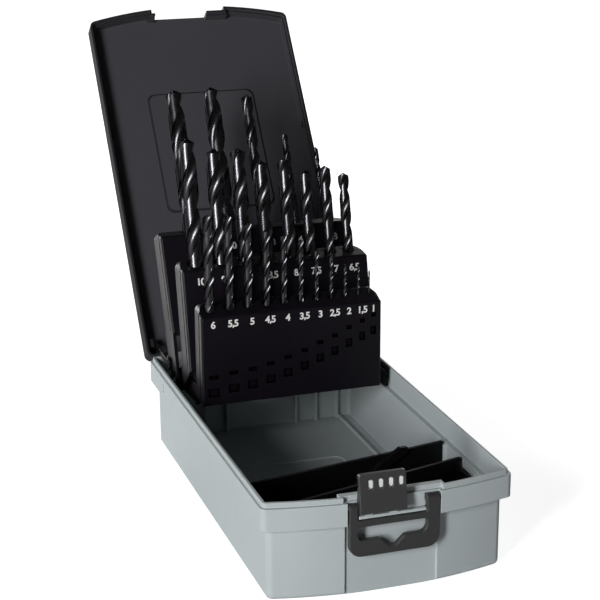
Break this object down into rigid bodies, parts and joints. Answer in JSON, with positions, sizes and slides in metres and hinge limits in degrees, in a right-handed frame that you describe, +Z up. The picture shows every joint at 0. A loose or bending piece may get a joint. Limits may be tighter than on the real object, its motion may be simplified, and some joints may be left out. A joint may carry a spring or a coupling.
{
  "type": "drill bit case",
  "caption": "Hinged plastic case whose raised lid fans out three pivoting tiers of graduated twist drills, with a front latch, fold-down handle and slanted tip-stop tray.",
  "frame": {"origin": "middle of the underside of the lower box", "axes": "+Z up, +Y from the latch towards the lid hinge, +X to the right of someone facing away from the latch; the lid is stored open"},
  "size_m": [0.134, 0.3955, 0.2439],
  "materials": {
    "case_grey": "fine matt texture, light grey ABS",
    "lid_dark": "fine matt texture, charcoal ABS",
    "holder_black": "satin black polypropylene",
    "tray_black": "satin black polypropylene",
    "bracket_black": "satin black nylon",
    "latch_dark": "satin dark grey nylon",
    "handle_dark": "satin dark grey nylon",
    "pin_steel": "bright drawn wire",
    "number_white": "white printed numerals",
    "drill_black_oxide": "ground high-speed steel, black oxide"
  },
  "bodies": {
    "base": {"case_base": "case_grey", "tip_stop_tray": "tray_black", "bracket_left": "bracket_black", "bracket_right": "bracket_black", "holder_pivot_pins": "pin_steel", "lid_hinge_pins": "pin_steel", "latch_pin": "pin_steel", "handle_pins": "pin_steel"},
    "lid": {"lid": "lid_dark"},
    "drive_links": {"drive_links": "bracket_black"},
    "holder_front": {"holder_front": "holder_black"},
    "holder_middle": {"holder_middle": "holder_black"},
    "holder_back": {"holder_back": "holder_black"},
    "latch": {"latch": "latch_dark", "latch_grips": "case_grey"},
    "handle": {"handle": "handle_dark"},
    "drill_6mm": {"drill_6mm": "drill_black_oxide"},
    "drill_5_5mm": {"drill_5_5mm": "drill_black_oxide"},
    "drill_5mm": {"drill_5mm": "drill_black_oxide"},
    "drill_4_5mm": {"drill_4_5mm": "drill_black_oxide"},
    "drill_4mm": {"drill_4mm": "drill_black_oxide"},
    "drill_3_5mm": {"drill_3_5mm": "drill_black_oxide"},
    "drill_3mm": {"drill_3mm": "drill_black_oxide"},
    "drill_2_5mm": {"drill_2_5mm": "drill_black_oxide"},
    "drill_2mm": {"drill_2mm": "drill_black_oxide"},
    "drill_1_5mm": {"drill_1_5mm": "drill_black_oxide"},
    "drill_1mm": {"drill_1mm": "drill_black_oxide"},
    "drill_10mm": {"drill_10mm": "drill_black_oxide"},
    "drill_9_5mm": {"drill_9_5mm": "drill_black_oxide"},
    "drill_9mm": {"drill_9mm": "drill_black_oxide"},
    "drill_8_5mm": {"drill_8_5mm": "drill_black_oxide"},
    "drill_8mm": {"drill_8mm": "drill_black_oxide"},
    "drill_7_5mm": {"drill_7_5mm": "drill_black_oxide"},
    "drill_7mm": {"drill_7mm": "drill_black_oxide"},
    "drill_6_5mm": {"drill_6_5mm": "drill_black_oxide"},
    "drill_10_5mm": {"drill_10_5mm": "drill_black_oxide"},
    "drill_10_2mm": {"drill_10_2mm": "drill_black_oxide"},
    "drill_6_8mm": {"drill_6_8mm": "drill_black_oxide"},
    "drill_4_2mm": {"drill_4_2mm": "drill_black_oxide"},
    "drill_3_3mm": {"drill_3_3mm": "drill_black_oxide"}
  },
  "joints": [
    {"name": "lid_hinge", "type": "hinge", "parent": "base", "child": "lid", "pos_m": [0, 0.1165, 0.0516], "axis": [-1, 0, 0], "range_deg": [-126.7, 0]},
    {"name": "holder_front_pivot", "type": "hinge", "parent": "base", "child": "holder_front", "pos_m": [0, 0.082, 0.049], "axis": [-1, 0, 0], "range_deg": [-90.1, 0]},
    {"name": "holder_middle_pivot", "type": "hinge", "parent": "base", "child": "holder_middle", "pos_m": [0, 0.082, 0.049], "axis": [-1, 0, 0], "range_deg": [-102.3, 0]},
    {"name": "holder_back_pivot", "type": "hinge", "parent": "base", "child": "holder_back", "pos_m": [0, 0.082, 0.049], "axis": [-1, 0, 0], "range_deg": [-114.5, 0]},
    {"name": "drive_link_pivot", "type": "hinge", "parent": "lid", "child": "drive_links", "pos_m": [0, 0.12689, 0.0576], "axis": [-1, 0, 0], "range_deg": [0, 128.6]},
    {"name": "latch_pivot", "type": "hinge", "parent": "base", "child": "latch", "pos_m": [0, -0.1222, 0.0476], "axis": [1, 0, 0], "range_deg": [-4.5, 28]},
    {"name": "handle_pivot", "type": "hinge", "parent": "base", "child": "handle", "pos_m": [0, -0.1218, 0.0485], "axis": [-1, 0, 0], "range_deg": [0, 90]},
    {"name": "drill_6mm_slide", "type": "slide", "parent": "holder_front", "child": "drill_6mm", "axis": [0, 0, 1], "range_m": [0, 0.0405]},
    {"name": "drill_5_5mm_slide", "type": "slide", "parent": "holder_front", "child": "drill_5_5mm", "axis": [0, 0, 1], "range_m": [0, 0.0415]},
    {"name": "drill_5mm_slide", "type": "slide", "parent": "holder_front", "child": "drill_5mm", "axis": [0, 0, 1], "range_m": [0, 0.0395]},
    {"name": "drill_4_5mm_slide", "type": "slide", "parent": "holder_front", "child": "drill_4_5mm", "axis": [0, 0, 1], "range_m": [0, 0.0385]},
    {"name": "drill_4mm_slide", "type": "slide", "parent": "holder_front", "child": "drill_4mm", "axis": [0, 0, 1], "range_m": [0, 0.0375]},
    {"name": "drill_3_5mm_slide", "type": "slide", "parent": "holder_front", "child": "drill_3_5mm", "axis": [0, 0, 1], "range_m": [0, 0.0365]},
    {"name": "drill_3mm_slide", "type": "slide", "parent": "holder_front", "child": "drill_3mm", "axis": [0, 0, 1], "range_m": [0, 0.034]},
    {"name": "drill_2_5mm_slide", "type": "slide", "parent": "holder_front", "child": "drill_2_5mm", "axis": [0, 0, 1], "range_m": [0, 0.033]},
    {"name": "drill_2mm_slide", "type": "slide", "parent": "holder_front", "child": "drill_2mm", "axis": [0, 0, 1], "range_m": [0, 0.0327]},
    {"name": "drill_1_5mm_slide", "type": "slide", "parent": "holder_front", "child": "drill_1_5mm", "axis": [0, 0, 1], "range_m": [0, 0.0252]},
    {"name": "drill_1mm_slide", "type": "slide", "parent": "holder_front", "child": "drill_1mm", "axis": [0, 0, 1], "range_m": [0, 0.0229]},
    {"name": "drill_10mm_slide", "type": "slide", "parent": "holder_middle", "child": "drill_10mm", "axis": [0, 0.2113, 0.9774], "range_m": [0, 0.0625]},
    {"name": "drill_9_5mm_slide", "type": "slide", "parent": "holder_middle", "child": "drill_9_5mm", "axis": [0, 0.2113, 0.9774], "range_m": [0, 0.0615]},
    {"name": "drill_9mm_slide", "type": "slide", "parent": "holder_middle", "child": "drill_9mm", "axis": [0, 0.2113, 0.9774], "range_m": [0, 0.0625]},
    {"name": "drill_8_5mm_slide", "type": "slide", "parent": "holder_middle", "child": "drill_8_5mm", "axis": [0, 0.2113, 0.9774], "range_m": [0, 0.0625]},
    {"name": "drill_8mm_slide", "type": "slide", "parent": "holder_middle", "child": "drill_8mm", "axis": [0, 0.2113, 0.9774], "range_m": [0, 0.0625]},
    {"name": "drill_7_5mm_slide", "type": "slide", "parent": "holder_middle", "child": "drill_7_5mm", "axis": [0, 0.2113, 0.9774], "range_m": [0, 0.062]},
    {"name": "drill_7mm_slide", "type": "slide", "parent": "holder_middle", "child": "drill_7mm", "axis": [0, 0.2113, 0.9774], "range_m": [0, 0.0605]},
    {"name": "drill_6_5mm_slide", "type": "slide", "parent": "holder_middle", "child": "drill_6_5mm", "axis": [0, 0.2113, 0.9774], "range_m": [0, 0.0575]},
    {"name": "drill_10_5mm_slide", "type": "slide", "parent": "holder_back", "child": "drill_10_5mm", "axis": [0, 0.4131, 0.9107], "range_m": [0, 0.0478]},
    {"name": "drill_10_2mm_slide", "type": "slide", "parent": "holder_back", "child": "drill_10_2mm", "axis": [0, 0.4131, 0.9107], "range_m": [0, 0.0475]},
    {"name": "drill_6_8mm_slide", "type": "slide", "parent": "holder_back", "child": "drill_6_8mm", "axis": [0, 0.4131, 0.9107], "range_m": [0, 0.0298]},
    {"name": "drill_4_2mm_slide", "type": "slide", "parent": "holder_back", "child": "drill_4_2mm", "axis": [0, 0.4131, 0.9107], "range_m": [0, 0.0219]},
    {"name": "drill_3_3mm_slide", "type": "slide", "parent": "holder_back", "child": "drill_3_3mm", "axis": [0, 0.4131, 0.9107], "range_m": [0, 0.0215]}
  ],
  "couplings": [
    {"joint": "holder_front_pivot", "follows": "lid_hinge", "ratio": 0.71034},
    {"joint": "holder_middle_pivot", "follows": "lid_hinge", "ratio": 0.80663},
    {"joint": "holder_back_pivot", "follows": "lid_hinge", "ratio": 0.90292},
    {"joint": "drive_link_pivot", "follows": "lid_hinge", "ratio": -1.0136}
  ]
}
